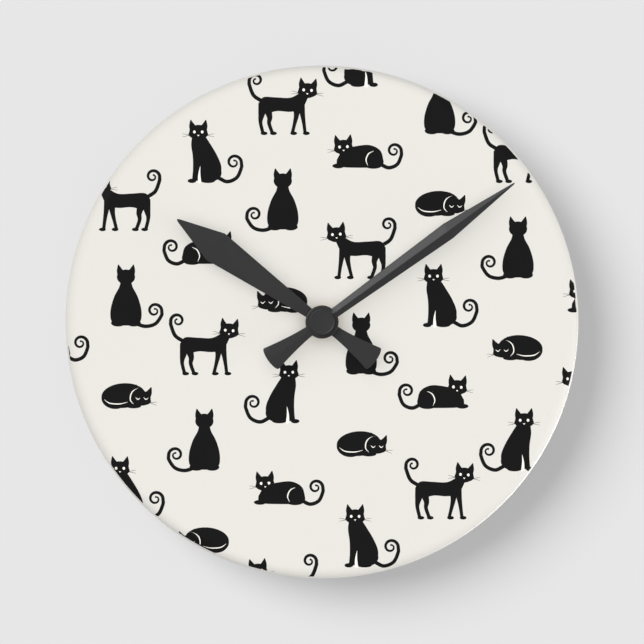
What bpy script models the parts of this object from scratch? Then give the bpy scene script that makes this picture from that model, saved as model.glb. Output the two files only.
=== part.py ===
"""Round wall clock: printed face disc, two hands and a geared battery movement.

Everything is drawn as the clock lies on its back: x to the right, y up the
face, z out from the wall. One empty, "clock", then stands the whole of it up,
so that the face looks along -Y, +Z is up and the wall plane is Y = 0.
"""
import math

import bmesh
import bpy

# ---------------------------------------------------------------- dimensions (metres)
MM = 0.001
GAP = 0.25 * MM              # air between pieces that rest on each other

FACE_RADIUS = 101.6 * MM     # 8 inch face
FACE_THICK = 6.5 * MM
FACE_ROUND_WIDE = 5.0 * MM   # front edge: rounding measured across the face
FACE_ROUND_DEEP = 4.2 * MM   # front edge: rounding measured into the thickness
BACK_EDGE = 0.6 * MM

CASE_SIDE = 56.0 * MM        # square movement case
CASE_BACK = 1.5 * MM         # where the side walls end, above the wall plane
CASE_FRONT = 16.5 * MM
CASE_WALL = 1.3 * MM
CASE_CORNER = 2.5 * MM
BAY_TOP = -10.2 * MM         # upper side of the partition over the battery bay
COVER_THICK = 1.2 * MM
PANEL_MARGIN = 2.5 * MM      # flush border round the cover's sunk panel
PANEL_DEEP = 0.3 * MM
PLATE_Z = (9.6 * MM, 10.6 * MM)

HANGER_RISE = 12.0 * MM      # top of the loop, above the case
HANGER_HALF = 10.0 * MM
HANGER_SHOULDER = 5.0 * MM
HANGER_THICK = 3.0 * MM
SLOT_HALF = 4.6 * MM
SLOT_CORNER = 1.6 * MM
SLOT_MARGINS = (3.2 * MM, 3.0 * MM)  # loop left below and above the slot

BATTERY_RADIUS = 7.25 * MM
BATTERY_LENGTH = 50.5 * MM
BATTERY_AXIS = (-19.1 * MM, 7.75 * MM)   # y and z of its axis
TERMINAL_RADIUS = 2.75 * MM
TERMINAL_RISE = 1.2 * MM
LEAF_THICK = 0.4 * MM        # contact leaves
LEAF_HALF = 4.0 * MM
LEAF_Z = (3.0 * MM, 13.0 * MM)

BUSH_RADIUS = 4.0 * MM
BUSH_BORE = 2.75 * MM
FACE_BORE = 4.4 * MM
PIPE_RADIUS = 2.5 * MM
PIPE_BORE = 1.75 * MM
ARBOR_RADIUS = 1.5 * MM
REAR_ARBOR = 0.75 * MM
WHEEL_ARBOR = 0.9 * MM
PIVOT_RADIUS = 0.38 * MM
PIVOT_HOLE = 0.48 * MM
REAR_PIVOT_END = 0.9 * MM    # rear pivots stop here, in holes that start here:
PIVOT_HOLE_END = 0.7 * MM
BOSS_RADIUS = 1.1 * MM
BOSS_TOP = 2.3 * MM
SEAT_DEEP = 0.7 * MM         # sockets for the motion work, in the front wall
FRONT_PIVOT = 0.4 * MM       # how far its pivots reach into them

GASKET_RADIUS = 11.0 * MM
GASKET_THICK = 1.0 * MM
WASHER_RADIUS = 6.2 * MM
WASHER_THICK = 0.5 * MM
NUT_THICK = 2.2 * MM
NUT_FLATS = 11.0 * MM

HAND_THICK = 0.5 * MM
MINUTE_LENGTH = 93.6 * MM
HOUR_LENGTH = 70.0 * MM
HUB_RADIUS = 6.55 * MM
HOUR_HUB_RADIUS = 5.75 * MM
CAP_RADIUS = 5.05 * MM
MINUTE_ANGLE = math.radians(54.2)    # clockwise from twelve: nine minutes past
HOUR_ANGLE = math.radians(305.3)     # just past ten

# Stack in front of the case, each piece a gap in front of the one before.
GASKET_Z = CASE_FRONT + GAP
FACE_Z = GASKET_Z + GASKET_THICK + GAP
WASHER_Z = FACE_Z + FACE_THICK + GAP
NUT_Z = WASHER_Z + WASHER_THICK + GAP
BUSH_TOP = NUT_Z + NUT_THICK + 0.5 * MM
HOUR_HAND_Z = BUSH_TOP + 0.6 * MM
PIPE_TOP = HOUR_HAND_Z + HAND_THICK + 0.4 * MM
MINUTE_HAND_Z = PIPE_TOP + 0.8 * MM
ARBOR_TOP = MINUTE_HAND_Z + HAND_THICK + 1.1 * MM
CAP_Z = MINUTE_HAND_Z + HAND_THICK + GAP
CAP_THICK = 2.0 * MM

# Levels inside the case, from the wall plane.
ARBOR_ENDS = (2.6 * MM, PLATE_Z[0] - 0.3 * MM)
CENTRE_WHEEL_Z = 7.6 * MM
THIRD_WHEEL_Z = 5.6 * MM
SECOND_WHEEL_Z = 3.6 * MM
THIRD_PINION_TOP = 9.0 * MM
SECOND_PINION_TOP = 7.0 * MM
FIFTH_PINION_BACK = 3.0 * MM
ROTOR_PINION_Z = (7.0 * MM, 8.8 * MM)
MAGNET_Z = (3.3 * MM, 6.3 * MM)
SPRING_Z = (8.45 * MM, 8.65 * MM)
COLLAR_Z = (8.9 * MM, ARBOR_ENDS[1])
CANNON_Z = (11.0 * MM, 12.7 * MM)
MOTION_WHEEL_Z = 11.4 * MM
MOTION_PINION_TOP = 14.6 * MM
HOUR_WHEEL_Z = 13.1 * MM
FLANGE_Z = (13.9 * MM + GAP, CASE_FRONT - CASE_WALL - GAP)
KNOB_Z = (0.3 * MM, 2.9 * MM)
KNOB_PINION_Z = (11.0 * MM, 12.4 * MM)

MAGNET_RADIUS = 2.8 * MM
COLLAR_RADIUS = 2.3 * MM
SPRING_RADIUS = 2.6 * MM
FLANGE_RADIUS = 5.4 * MM
KNOB_RADIUS = 5.5 * MM
KNOB_HOLE = 5.9 * MM
KNOB_RIDGES = 30
RIDGE_DEEP = 0.35 * MM

# ---------------------------------------------------------------- gear train
MODULE = 0.25 * MM
PLAY = 0.03 * MM             # extra centre distance, for running clearance
ADDENDUM = 0.85              # tooth height above and below the pitch circle, in modules
DEDENDUM = 1.25
TIP, ROOT = 0.16, 0.44       # tooth thickness at tip and root, as shares of the pitch
WHEEL_THICK = 0.6 * MM
BITE = 0.3 * MM              # how far a pinion runs into its own wheel

CENTRE_TEETH = 64
THIRD_TEETH, THIRD_LEAVES = 60, 8
SECOND_TEETH, SECOND_LEAVES = 60, 8
FIFTH_TEETH, FIFTH_LEAVES = 60, 10
ROTOR_LEAVES = 12
CANNON_LEAVES = 15
MOTION_TEETH, MOTION_LEAVES = 45, 12
HOUR_TEETH = 48
KNOB_LEAVES = 12


def centre_distance(teeth_a, teeth_b):
    """Distance between two meshing axes, with running play."""
    return (teeth_a + teeth_b) * MODULE / 2 + PLAY


def step_from(point, teeth_a, teeth_b, degrees):
    """Axis that meshes with the one at point, in the direction of degrees."""
    reach = centre_distance(teeth_a, teeth_b)
    turn = math.radians(degrees)
    return (point[0] + reach * math.cos(turn), point[1] + reach * math.sin(turn))


CENTRE = (0.0, 0.0)
THIRD_TURN, SECOND_TURN, FIFTH_TURN, ROTOR_TURN = 100.0, 50.0, -20.0, -60.0
MOTION_TURN, KNOB_TURN = 200.0, 150.0
THIRD = step_from(CENTRE, CENTRE_TEETH, THIRD_LEAVES, THIRD_TURN)
SECOND = step_from(THIRD, THIRD_TEETH, SECOND_LEAVES, SECOND_TURN)
FIFTH = step_from(SECOND, SECOND_TEETH, FIFTH_LEAVES, FIFTH_TURN)
ROTOR = step_from(FIFTH, FIFTH_TEETH, ROTOR_LEAVES, ROTOR_TURN)
MOTION = step_from(CENTRE, CANNON_LEAVES, MOTION_TEETH, MOTION_TURN)
KNOB = step_from(MOTION, MOTION_TEETH, KNOB_LEAVES, KNOB_TURN)

# ---------------------------------------------------------------- scene and helpers
for old in list(bpy.data.objects):
    bpy.data.objects.remove(old, do_unlink=True)

parts = bpy.data.collections.new("wall_clock")
cutters = bpy.data.collections.new("cutters")
bpy.context.scene.collection.children.link(parts)
bpy.context.scene.collection.children.link(cutters)

clock = bpy.data.objects.new("clock", None)
clock.rotation_euler = (math.radians(90), 0, 0)
parts.objects.link(clock)


def material(name, colour, roughness, metallic=0.0):
    """Principled material of one colour."""
    made = bpy.data.materials.new(name)
    made.use_nodes = True
    shader = made.node_tree.nodes["Principled BSDF"]
    shader.inputs["Base Color"].default_value = (*colour, 1.0)
    shader.inputs["Roughness"].default_value = roughness
    shader.inputs["Metallic"].default_value = metallic
    return made


IVORY = material("face_ivory", (0.88, 0.86, 0.80), 0.25)
HAND_BLACK = material("hand_black", (0.042, 0.042, 0.045), 0.45)
BLACK_PLASTIC = material("black_plastic", (0.03, 0.03, 0.032), 0.45)
RUBBER = material("rubber", (0.02, 0.02, 0.02), 0.85)
BRASS = material("brass", (0.72, 0.53, 0.24), 0.3, 1.0)
STEEL = material("steel", (0.62, 0.62, 0.64), 0.3, 1.0)
MAGNET = material("magnet", (0.16, 0.16, 0.17), 0.4, 1.0)
COPPER = material("copper_wire", (0.66, 0.30, 0.14), 0.35, 1.0)
WHITE_PLASTIC = material("white_plastic", (0.82, 0.80, 0.74), 0.4)
BOARD_GREEN = material("board_green", (0.03, 0.16, 0.08), 0.4)
CHIP_BLACK = material("chip_black", (0.02, 0.02, 0.022), 0.5)
BATTERY_JACKET = material("battery_jacket", (0.10, 0.22, 0.42), 0.3, 0.3)


def enter(shape, collection):
    """Link an object into a collection, lying in the clock's own frame."""
    for home in list(shape.users_collection):
        home.objects.unlink(shape)
    collection.objects.link(shape)
    shape.parent = clock
    if collection is cutters:
        shape.hide_render = True
        shape.display_type = "WIRE"
    return shape


def from_bmesh(name, made, finish=None, place=(0, 0, 0)):
    """Object from a bmesh; with a finish it is a part, without one a cutter."""
    mesh = bpy.data.meshes.new(name)
    made.to_mesh(mesh)
    made.free()
    shape = bpy.data.objects.new(name, mesh)
    shape.location = place
    if finish:
        mesh.materials.append(finish)
        mesh.shade_smooth()
        mesh.set_sharp_from_angle(angle=math.radians(35))
    return enter(shape, parts if finish else cutters)


def cylinder(name, radius, low, high, finish=None, centre=(0, 0), sides=24, place=(0, 0, 0)):
    """Round bar along z, from low to high."""
    made = bmesh.new()
    bmesh.ops.create_cone(
        made, cap_ends=True, segments=sides, radius1=radius, radius2=radius, depth=high - low
    )
    bmesh.ops.translate(made, vec=(centre[0], centre[1], (low + high) / 2), verts=made.verts)
    return from_bmesh(name, made, finish, place)


def box(name, low, high, finish=None, place=(0, 0, 0)):
    """Block between two corners."""
    made = bmesh.new()
    bmesh.ops.create_cube(made, size=1.0)
    bmesh.ops.scale(made, vec=[b - a for a, b in zip(low, high)], verts=made.verts)
    bmesh.ops.translate(made, vec=[(a + b) / 2 for a, b in zip(low, high)], verts=made.verts)
    return from_bmesh(name, made, finish, place)


def plate(name, outline, low, high, finish=None, place=(0, 0, 0), holes=()):
    """Flat outline (and flat holes in it) extruded along z from low to high."""
    drawing = bpy.data.curves.new(name, "CURVE")
    drawing.dimensions = "2D"
    drawing.fill_mode = "BOTH"
    drawing.extrude = (high - low) / 2
    for loop in (outline, *holes):
        spline = drawing.splines.new("POLY")
        spline.points.add(len(loop) - 1)
        for point, (x, y) in zip(spline.points, loop):
            point.co = (x, y, 0, 1)
        spline.use_cyclic_u = True
    drawn = bpy.data.objects.new(name, drawing)
    bpy.context.scene.collection.objects.link(drawn)
    solid = bpy.data.meshes.new_from_object(
        drawn.evaluated_get(bpy.context.evaluated_depsgraph_get())
    )
    bpy.data.objects.remove(drawn, do_unlink=True)
    made = bmesh.new()
    made.from_mesh(solid)
    bpy.data.meshes.remove(solid)
    bmesh.ops.remove_doubles(made, verts=made.verts, dist=0.000001)
    bmesh.ops.translate(made, vec=(0, 0, (low + high) / 2), verts=made.verts)
    bmesh.ops.recalc_face_normals(made, faces=made.faces)
    return from_bmesh(name, made, finish, place)


def turned(name, profile, finish=None, steps=24, place=(0, 0, 0), closed=False):
    """Profile of (radius, z) points, top to bottom, spun round z by a Screw modifier."""
    made = bmesh.new()
    points = [made.verts.new((radius, 0, z)) for radius, z in profile]
    for start, end in zip(points, points[1:]):
        made.edges.new((start, end))
    if closed:
        made.edges.new((points[-1], points[0]))
    shape = from_bmesh(name, made, finish, place)
    spin = shape.modifiers.new("Spin", "SCREW")
    spin.steps = steps
    spin.render_steps = steps
    spin.use_merge_vertices = True
    spin.merge_threshold = 0.00001
    spin.use_smooth_shade = False
    return shape


def combine(shape, operation, others):
    """Boolean each of the others into shape; the others become cutters."""
    for other in others:
        enter(other, cutters)
        modifier = shape.modifiers.new(operation.title(), "BOOLEAN")
        modifier.operation = operation
        modifier.solver = "EXACT"
        modifier.object = other
    return shape


def arc(centre, radius, start, end, count):
    """Points along an arc, in degrees."""
    turns = [math.radians(start + (end - start) * i / count) for i in range(count + 1)]
    return [
        (centre[0] + radius * math.cos(turn), centre[1] + radius * math.sin(turn))
        for turn in turns
    ]


def rounded_rectangle(low, high, radius, count=4):
    """Outline of a rectangle with round corners, anticlockwise."""
    corners = [
        ((high[0] - radius, low[1] + radius), -90),
        ((high[0] - radius, high[1] - radius), 0),
        ((low[0] + radius, high[1] - radius), 90),
        ((low[0] + radius, low[1] + radius), 180),
    ]
    return [p for centre, start in corners for p in arc(centre, radius, start, start + 90, count)]


def gear_outline(teeth, phase):
    """Four points a tooth, with a tooth centred on the angle phase."""
    pitch_radius = teeth * MODULE / 2
    tip_radius = pitch_radius + ADDENDUM * MODULE
    root_radius = pitch_radius - DEDENDUM * MODULE
    half_tip = TIP * math.pi * MODULE / 2 / pitch_radius
    half_root = ROOT * math.pi * MODULE / 2 / pitch_radius
    corners = (
        (-half_root, root_radius),
        (-half_tip, tip_radius),
        (half_tip, tip_radius),
        (half_root, root_radius),
    )
    points = []
    for tooth in range(teeth):
        middle = phase + 2 * math.pi * tooth / teeth
        points += [
            (radius * math.cos(middle + turn), radius * math.sin(middle + turn))
            for turn, radius in corners
        ]
    return points


def gear(name, teeth, phase, low, high, finish=None, place=(0, 0, 0)):
    """Straight-toothed wheel or pinion."""
    return plate(name, gear_outline(teeth, phase), low, high, finish, place)


def mesh_phase(teeth, driven_teeth, phase, degrees):
    """Phase of the driven gear: a gap faces the driver's tooth on the line of centres."""
    line = math.radians(degrees)
    return (
        line + math.pi - math.pi / driven_teeth
        + (line - phase) * teeth / driven_teeth
    )


# ---------------------------------------------------------------- face and its fixings
def face_profile():
    """Section of the disc: bore, front, rounded front edge, small back edge."""
    back, front = FACE_Z, FACE_Z + FACE_THICK
    points = [(FACE_BORE, front)]
    flat = FACE_RADIUS - FACE_ROUND_WIDE
    steps = 6
    for i in range(steps + 1):
        turn = math.radians(90 * i / steps)
        points.append((
            flat + FACE_ROUND_WIDE * math.sin(turn),
            front - FACE_ROUND_DEEP * (1 - math.cos(turn)),
        ))
    points += [
        (FACE_RADIUS, back + BACK_EDGE),
        (FACE_RADIUS - BACK_EDGE, back),
        (FACE_BORE, back),
    ]
    return points


def ring_profile(inner, outer, low, high):
    """Section of a flat ring."""
    return [(inner, high), (outer, high), (outer, low), (inner, low)]


turned("face_disc", face_profile(), IVORY, steps=96, closed=True)
turned(
    "rubber_gasket",
    ring_profile(FACE_BORE, GASKET_RADIUS, GASKET_Z, GASKET_Z + GASKET_THICK),
    RUBBER, closed=True,
)
turned(
    "face_washer",
    ring_profile(FACE_BORE, WASHER_RADIUS, WASHER_Z, WASHER_Z + WASHER_THICK),
    BRASS, closed=True,
)
hexagon = arc((0, 0), NUT_FLATS / math.sqrt(3), 0, 300, 5)
combine(
    plate("hex_nut", hexagon, NUT_Z, NUT_Z + NUT_THICK, BRASS),
    "DIFFERENCE",
    [cylinder("nut_bore", BUSH_RADIUS + GAP, NUT_Z - MM, NUT_Z + NUT_THICK + MM)],
)

bush_edge = 0.3 * MM
turned(
    "threaded_bush",
    [
        (BUSH_BORE, BUSH_TOP), (BUSH_RADIUS - bush_edge, BUSH_TOP),
        (BUSH_RADIUS, BUSH_TOP - bush_edge), (BUSH_RADIUS, FLANGE_Z[1]),
        (FLANGE_RADIUS, FLANGE_Z[1]), (FLANGE_RADIUS, FLANGE_Z[0]), (BUSH_BORE, FLANGE_Z[0]),
    ],
    BRASS, closed=True,
)

# ---------------------------------------------------------------- movement case
HALF = CASE_SIDE / 2
INNER = HALF - CASE_WALL
INNER_FRONT = CASE_FRONT - CASE_WALL


def pivot_holes(name, axes, radius, low, high):
    """One round cutter at each axis."""
    return [
        cylinder(f"{name}_{i}", radius, low, high, centre=axis, sides=16)
        for i, axis in enumerate(axes)
    ]


def movement_case():
    """Open-backed box with a partition over the battery bay."""
    shell = plate(
        "movement_case", rounded_rectangle((-HALF, -HALF), (HALF, HALF), CASE_CORNER),
        CASE_BACK, CASE_FRONT, BLACK_PLASTIC,
    )
    works = box(
        "case_works", (-INNER, BAY_TOP, 0), (INNER, INNER, INNER_FRONT)
    )
    bay = box(
        "case_bay", (-INNER, -INNER, 0), (INNER, BAY_TOP - CASE_WALL, INNER_FRONT)
    )
    bush_hole = cylinder("case_bush_hole", BUSH_RADIUS + GAP, INNER_FRONT - MM, CASE_FRONT + MM)
    motion_seats = pivot_holes(
        "case_seat", [MOTION, KNOB], PIVOT_HOLE + 0.2 * MM, INNER_FRONT - MM, INNER_FRONT + SEAT_DEEP
    )
    return combine(shell, "DIFFERENCE", [works, bay, bush_hole, *motion_seats])


def back_cover():
    """Plate behind the works: sunk outer panel, boss for each rear pivot, hole for the knob."""
    low = BAY_TOP - CASE_WALL
    cover = plate(
        "back_cover", rounded_rectangle((-HALF, low), (HALF, HALF), CASE_CORNER),
        0, COVER_THICK, BLACK_PLASTIC,
    )
    reach = HALF - PANEL_MARGIN
    panel = plate(
        "cover_panel", rounded_rectangle((-reach, low + PANEL_MARGIN), (reach, reach), MM),
        -MM, PANEL_DEEP,
    )
    axes = [CENTRE, THIRD, SECOND, FIFTH, ROTOR]
    bosses = [
        cylinder(f"cover_boss_{i}", BOSS_RADIUS, COVER_THICK / 2, BOSS_TOP, centre=axis, sides=12)
        for i, axis in enumerate(axes)
    ]
    combine(cover, "UNION", bosses)
    knob_hole = cylinder("cover_knob_hole", KNOB_HOLE, -MM, COVER_THICK + MM, centre=KNOB, sides=32)
    blind = pivot_holes("cover_pivot", axes, PIVOT_HOLE, PIVOT_HOLE_END, BOSS_TOP + MM)
    return combine(cover, "DIFFERENCE", [panel, knob_hole, *blind])


def middle_plate():
    """Plate that carries the front pivots of the going train."""
    edge = INNER - GAP
    made = plate(
        "middle_plate", rounded_rectangle((-edge, BAY_TOP + GAP), (edge, edge), MM, 2),
        *PLATE_Z, WHITE_PLASTIC,
    )
    through = (PLATE_Z[0] - MM, PLATE_Z[1] + MM)
    cuts = pivot_holes("plate_pivot", [THIRD, SECOND, FIFTH, ROTOR, MOTION], PIVOT_HOLE, *through)
    cuts.append(cylinder("plate_centre", ARBOR_RADIUS + 0.15 * MM, *through, sides=20))
    cuts.append(cylinder("plate_knob", WHEEL_ARBOR + 0.2 * MM, *through, centre=KNOB, sides=16))
    return combine(made, "DIFFERENCE", cuts)


def hanger_loop():
    """Flat loop over the case: round shoulders, and a rounded slot for the nail."""
    foot, crown = HALF + GAP, HALF + HANGER_RISE
    corner_x, corner_y = HANGER_HALF - HANGER_SHOULDER, crown - HANGER_SHOULDER
    outline = [(-HANGER_HALF, foot), (HANGER_HALF, foot)]
    outline += arc((corner_x, corner_y), HANGER_SHOULDER, 0, 90, 5)
    outline += arc((-corner_x, corner_y), HANGER_SHOULDER, 90, 180, 5)
    slot_low = (-SLOT_HALF, foot + SLOT_MARGINS[0])
    slot_high = (SLOT_HALF, crown - SLOT_MARGINS[1])
    slot = rounded_rectangle(slot_low, slot_high, SLOT_CORNER, 3)
    return plate("hanger_loop", outline, 0, HANGER_THICK, BLACK_PLASTIC, holes=[slot])


movement_case()
back_cover()
middle_plate()
hanger_loop()


# ---------------------------------------------------------------- battery and contacts
def lengthwise(shape, y, z):
    """Lay a shape made along z along x instead, on the axis y, z."""
    shape.rotation_euler = (0, math.radians(90), 0)
    shape.location = (0, y, z)
    return shape


def battery():
    """Cylindrical cell with a raised terminal at its far end, laid along x."""
    end = BATTERY_LENGTH / 2
    shoulder = end - TERMINAL_RISE
    rim = 0.6 * MM
    profile = [
        (0, end), (TERMINAL_RADIUS - 0.15 * MM, end), (TERMINAL_RADIUS, shoulder),
        (BATTERY_RADIUS - rim, shoulder), (BATTERY_RADIUS, shoulder - rim),
        (BATTERY_RADIUS, rim - end), (BATTERY_RADIUS - rim, -end), (0, -end),
    ]
    return lengthwise(turned("battery", profile, BATTERY_JACKET, steps=32), *BATTERY_AXIS)


def contact(name, side):
    """Flat leaf at one end of the bay, with a knuckle that the cell presses on."""
    y, z = BATTERY_AXIS
    outer = side * (INNER - GAP)
    inner = outer - side * LEAF_THICK
    low_x, high_x = sorted((outer, inner))
    leaf = box(name, (low_x, y - LEAF_HALF, LEAF_Z[0]), (high_x, y + LEAF_HALF, LEAF_Z[1]), STEEL)
    low_x, high_x = sorted((inner + side * LEAF_THICK / 2, inner - side * LEAF_THICK))
    half = 1.5 * MM
    knuckle = box(
        f"{name}_knuckle", (low_x, y - half, z - half), (high_x, y + half, z + half)
    )
    return combine(leaf, "UNION", [knuckle])


battery()
contact("contact_positive", 1)
contact("contact_negative", -1)


# ---------------------------------------------------------------- going train
def arbor_with(name, finish, axis, sections, gears):
    """Arbor of stacked (radius, z) sections with gears (teeth, phase, low, high) on it."""
    place = (axis[0], axis[1], 0)
    shape = turned(name, sections, finish, steps=16, place=place)
    wheels = [
        gear(f"{name}_gear_{i}", teeth, phase, low, high, place=place)
        for i, (teeth, phase, low, high) in enumerate(gears)
    ]
    return combine(shape, "UNION", wheels)


def train_arbor(*body):
    """Arbor section, top to bottom: the body's (radius, z) points between two pivots."""
    front = PLATE_Z[1] - 0.2 * MM
    return [
        (0, front), (PIVOT_RADIUS, front), (PIVOT_RADIUS, ARBOR_ENDS[1]), *body,
        (PIVOT_RADIUS, ARBOR_ENDS[0]), (PIVOT_RADIUS, REAR_PIVOT_END), (0, REAR_PIVOT_END),
    ]


def plain_arbor(radius):
    """Arbor of one thickness."""
    return train_arbor((radius, ARBOR_ENDS[1]), (radius, ARBOR_ENDS[0]))


centre_phase = 0.0
third_leaf_phase = mesh_phase(CENTRE_TEETH, THIRD_LEAVES, centre_phase, THIRD_TURN)
second_leaf_phase = mesh_phase(THIRD_TEETH, SECOND_LEAVES, 0.0, SECOND_TURN)
fifth_leaf_phase = mesh_phase(SECOND_TEETH, FIFTH_LEAVES, 0.0, FIFTH_TURN)
rotor_phase = mesh_phase(FIFTH_TEETH, ROTOR_LEAVES, 0.0, ROTOR_TURN)
motion_phase = mesh_phase(CANNON_LEAVES, MOTION_TEETH, 0.0, MOTION_TURN)
hour_phase = mesh_phase(MOTION_LEAVES, HOUR_TEETH, 0.0, MOTION_TURN + 180)
knob_phase = mesh_phase(MOTION_TEETH, KNOB_LEAVES, motion_phase, KNOB_TURN)

arbor_with(
    "third_wheel", WHITE_PLASTIC, THIRD, plain_arbor(0.65 * MM),
    [
        (THIRD_TEETH, 0.0, THIRD_WHEEL_Z, THIRD_WHEEL_Z + WHEEL_THICK),
        (THIRD_LEAVES, third_leaf_phase, THIRD_WHEEL_Z + BITE, THIRD_PINION_TOP),
    ],
)
arbor_with(
    "second_wheel", WHITE_PLASTIC, SECOND, plain_arbor(0.65 * MM),
    [
        (SECOND_TEETH, 0.0, SECOND_WHEEL_Z, SECOND_WHEEL_Z + WHEEL_THICK),
        (SECOND_LEAVES, second_leaf_phase, SECOND_WHEEL_Z + BITE, SECOND_PINION_TOP),
    ],
)
arbor_with(
    "fifth_wheel", WHITE_PLASTIC, FIFTH, plain_arbor(0.8 * MM),
    [
        (FIFTH_TEETH, 0.0, CENTRE_WHEEL_Z, CENTRE_WHEEL_Z + WHEEL_THICK),
        (FIFTH_LEAVES, fifth_leaf_phase, FIFTH_PINION_BACK, CENTRE_WHEEL_Z + BITE),
    ],
)
arbor_with(
    "rotor", MAGNET, ROTOR,
    train_arbor(
        (WHEEL_ARBOR, ARBOR_ENDS[1]), (WHEEL_ARBOR, MAGNET_Z[1]), (MAGNET_RADIUS, MAGNET_Z[1]),
        (MAGNET_RADIUS, MAGNET_Z[0]), (WHEEL_ARBOR, MAGNET_Z[0]), (WHEEL_ARBOR, ARBOR_ENDS[0]),
    ),
    [(ROTOR_LEAVES, rotor_phase, *ROTOR_PINION_Z)],
)

combine(
    gear(
        "centre_wheel", CENTRE_TEETH, centre_phase, CENTRE_WHEEL_Z,
        CENTRE_WHEEL_Z + WHEEL_THICK, WHITE_PLASTIC,
    ),
    "DIFFERENCE",
    [cylinder("centre_bore", REAR_ARBOR + GAP, CENTRE_WHEEL_Z - MM, CENTRE_WHEEL_Z + 2 * MM)],
)
turned(
    "clutch_spring",
    ring_profile(REAR_ARBOR + GAP, SPRING_RADIUS, *SPRING_Z), BRASS, closed=True,
)

# ---------------------------------------------------------------- arbors that reach the hands
arbor_edge = 0.2 * MM
arbor_with(
    "minute_arbor", BRASS, CENTRE, [
        (0, ARBOR_TOP), (ARBOR_RADIUS - arbor_edge, ARBOR_TOP),
        (ARBOR_RADIUS, ARBOR_TOP - arbor_edge), (ARBOR_RADIUS, COLLAR_Z[1]),
        (COLLAR_RADIUS, COLLAR_Z[1]), (COLLAR_RADIUS, COLLAR_Z[0]), (REAR_ARBOR, COLLAR_Z[0]),
        (REAR_ARBOR, ARBOR_ENDS[0]), (PIVOT_RADIUS, ARBOR_ENDS[0]),
        (PIVOT_RADIUS, REAR_PIVOT_END), (0, REAR_PIVOT_END),
    ],
    [(CANNON_LEAVES, 0.0, *CANNON_Z)],
)


def seated_arbor(*below):
    """Arbor section from its pivot in the front wall down to the (radius, z) points below."""
    tip, shoulder = INNER_FRONT + FRONT_PIVOT, INNER_FRONT - 0.3 * MM
    return [
        (0, tip), (PIVOT_RADIUS, tip), (PIVOT_RADIUS, shoulder), (WHEEL_ARBOR, shoulder), *below
    ]


motion_foot = PLATE_Z[1] + 0.3 * MM
motion_end = PLATE_Z[0] + 0.1 * MM
arbor_with(
    "motion_wheel", WHITE_PLASTIC, MOTION,
    seated_arbor(
        (WHEEL_ARBOR, motion_foot), (PIVOT_RADIUS, motion_foot), (PIVOT_RADIUS, motion_end),
        (0, motion_end),
    ),
    [
        (MOTION_TEETH, motion_phase, MOTION_WHEEL_Z, MOTION_WHEEL_Z + WHEEL_THICK),
        (MOTION_LEAVES, 0.0, MOTION_WHEEL_Z + BITE, MOTION_PINION_TOP),
    ],
)
hour_wheel = gear(
    "hour_wheel", HOUR_TEETH, hour_phase, HOUR_WHEEL_Z, HOUR_WHEEL_Z + WHEEL_THICK, BRASS
)
combine(
    hour_wheel, "UNION", [cylinder("hour_pipe", PIPE_RADIUS, HOUR_WHEEL_Z + BITE, PIPE_TOP)]
)
combine(
    hour_wheel, "DIFFERENCE",
    [cylinder("hour_bore", PIPE_BORE, HOUR_WHEEL_Z - MM, PIPE_TOP + MM)],
)


def knurled(radius, ridges, depth):
    """Round outline with shallow ridges, two points each."""
    points = []
    for i in range(2 * ridges):
        reach = radius - depth * (i % 2)
        turn = math.pi * i / ridges
        points.append((reach * math.cos(turn), reach * math.sin(turn)))
    return points


def setting_knob():
    """Knurled disc behind the cover's hole, its stem, and the pinion that drives the motion wheel."""
    place = (KNOB[0], KNOB[1], 0)
    outline = knurled(KNOB_RADIUS, KNOB_RIDGES, RIDGE_DEEP)
    knob = plate("setting_knob", outline, *KNOB_Z, BLACK_PLASTIC, place=place)
    root = KNOB_Z[1] - 0.9 * MM
    stem = turned(
        "knob_stem", seated_arbor((WHEEL_ARBOR, root), (0, root)), steps=16, place=place
    )
    pinion = gear("knob_pinion", KNOB_LEAVES, knob_phase, *KNOB_PINION_Z, place=place)
    return combine(knob, "UNION", [stem, pinion])


setting_knob()

# ---------------------------------------------------------------- motor and circuit
STATOR_Z = (4.3 * MM, 5.3 * MM)
STATOR_HALF = 3.9 * MM
STATOR_X = (9.6 * MM, INNER - 0.6 * MM)
STATOR_HOLE = MAGNET_RADIUS + 0.35 * MM
FIFTH_CLEARANCE = 2.2 * MM   # round cut in the stator for the fifth wheel's pinion
FOOT_WIDE = 2.6 * MM
FOOT_INSET = 0.2 * MM
COIL_Y = -6.4 * MM
COIL_RADIUS = 2.6 * MM
CORE_HALF = 1.0 * MM
CORE_Z = (STATOR_Z[0] + STATOR_Z[1]) / 2
CORE_X = (
    STATOR_X[0] + FOOT_INSET + FOOT_WIDE + GAP,
    STATOR_X[1] - FOOT_INSET - FOOT_WIDE - GAP,
)


def stator():
    """Plate round the rotor, with two feet that reach down beside the coil's core."""
    low_y, high_y = ROTOR[1] - STATOR_HALF, ROTOR[1] + STATOR_HALF
    made = box(
        "stator", (STATOR_X[0], low_y, STATOR_Z[0]), (STATOR_X[1], high_y, STATOR_Z[1]), STEEL
    )
    foot_y = COIL_Y - CORE_HALF - 0.2 * MM
    left_feet = (STATOR_X[0] + FOOT_INSET, STATOR_X[1] - FOOT_INSET - FOOT_WIDE)
    feet = [
        box(f"stator_foot_{i}", (x, foot_y, STATOR_Z[0]), (x + FOOT_WIDE, low_y + MM, STATOR_Z[1]))
        for i, x in enumerate(left_feet)
    ]
    combine(made, "UNION", feet)
    through = (STATOR_Z[0] - MM, STATOR_Z[1] + MM)
    holes = [
        cylinder("stator_hole", STATOR_HOLE, *through, centre=ROTOR),
        cylinder("stator_fifth_clear", FIFTH_CLEARANCE, *through, centre=FIFTH),
    ]
    return combine(made, "DIFFERENCE", holes)


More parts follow.
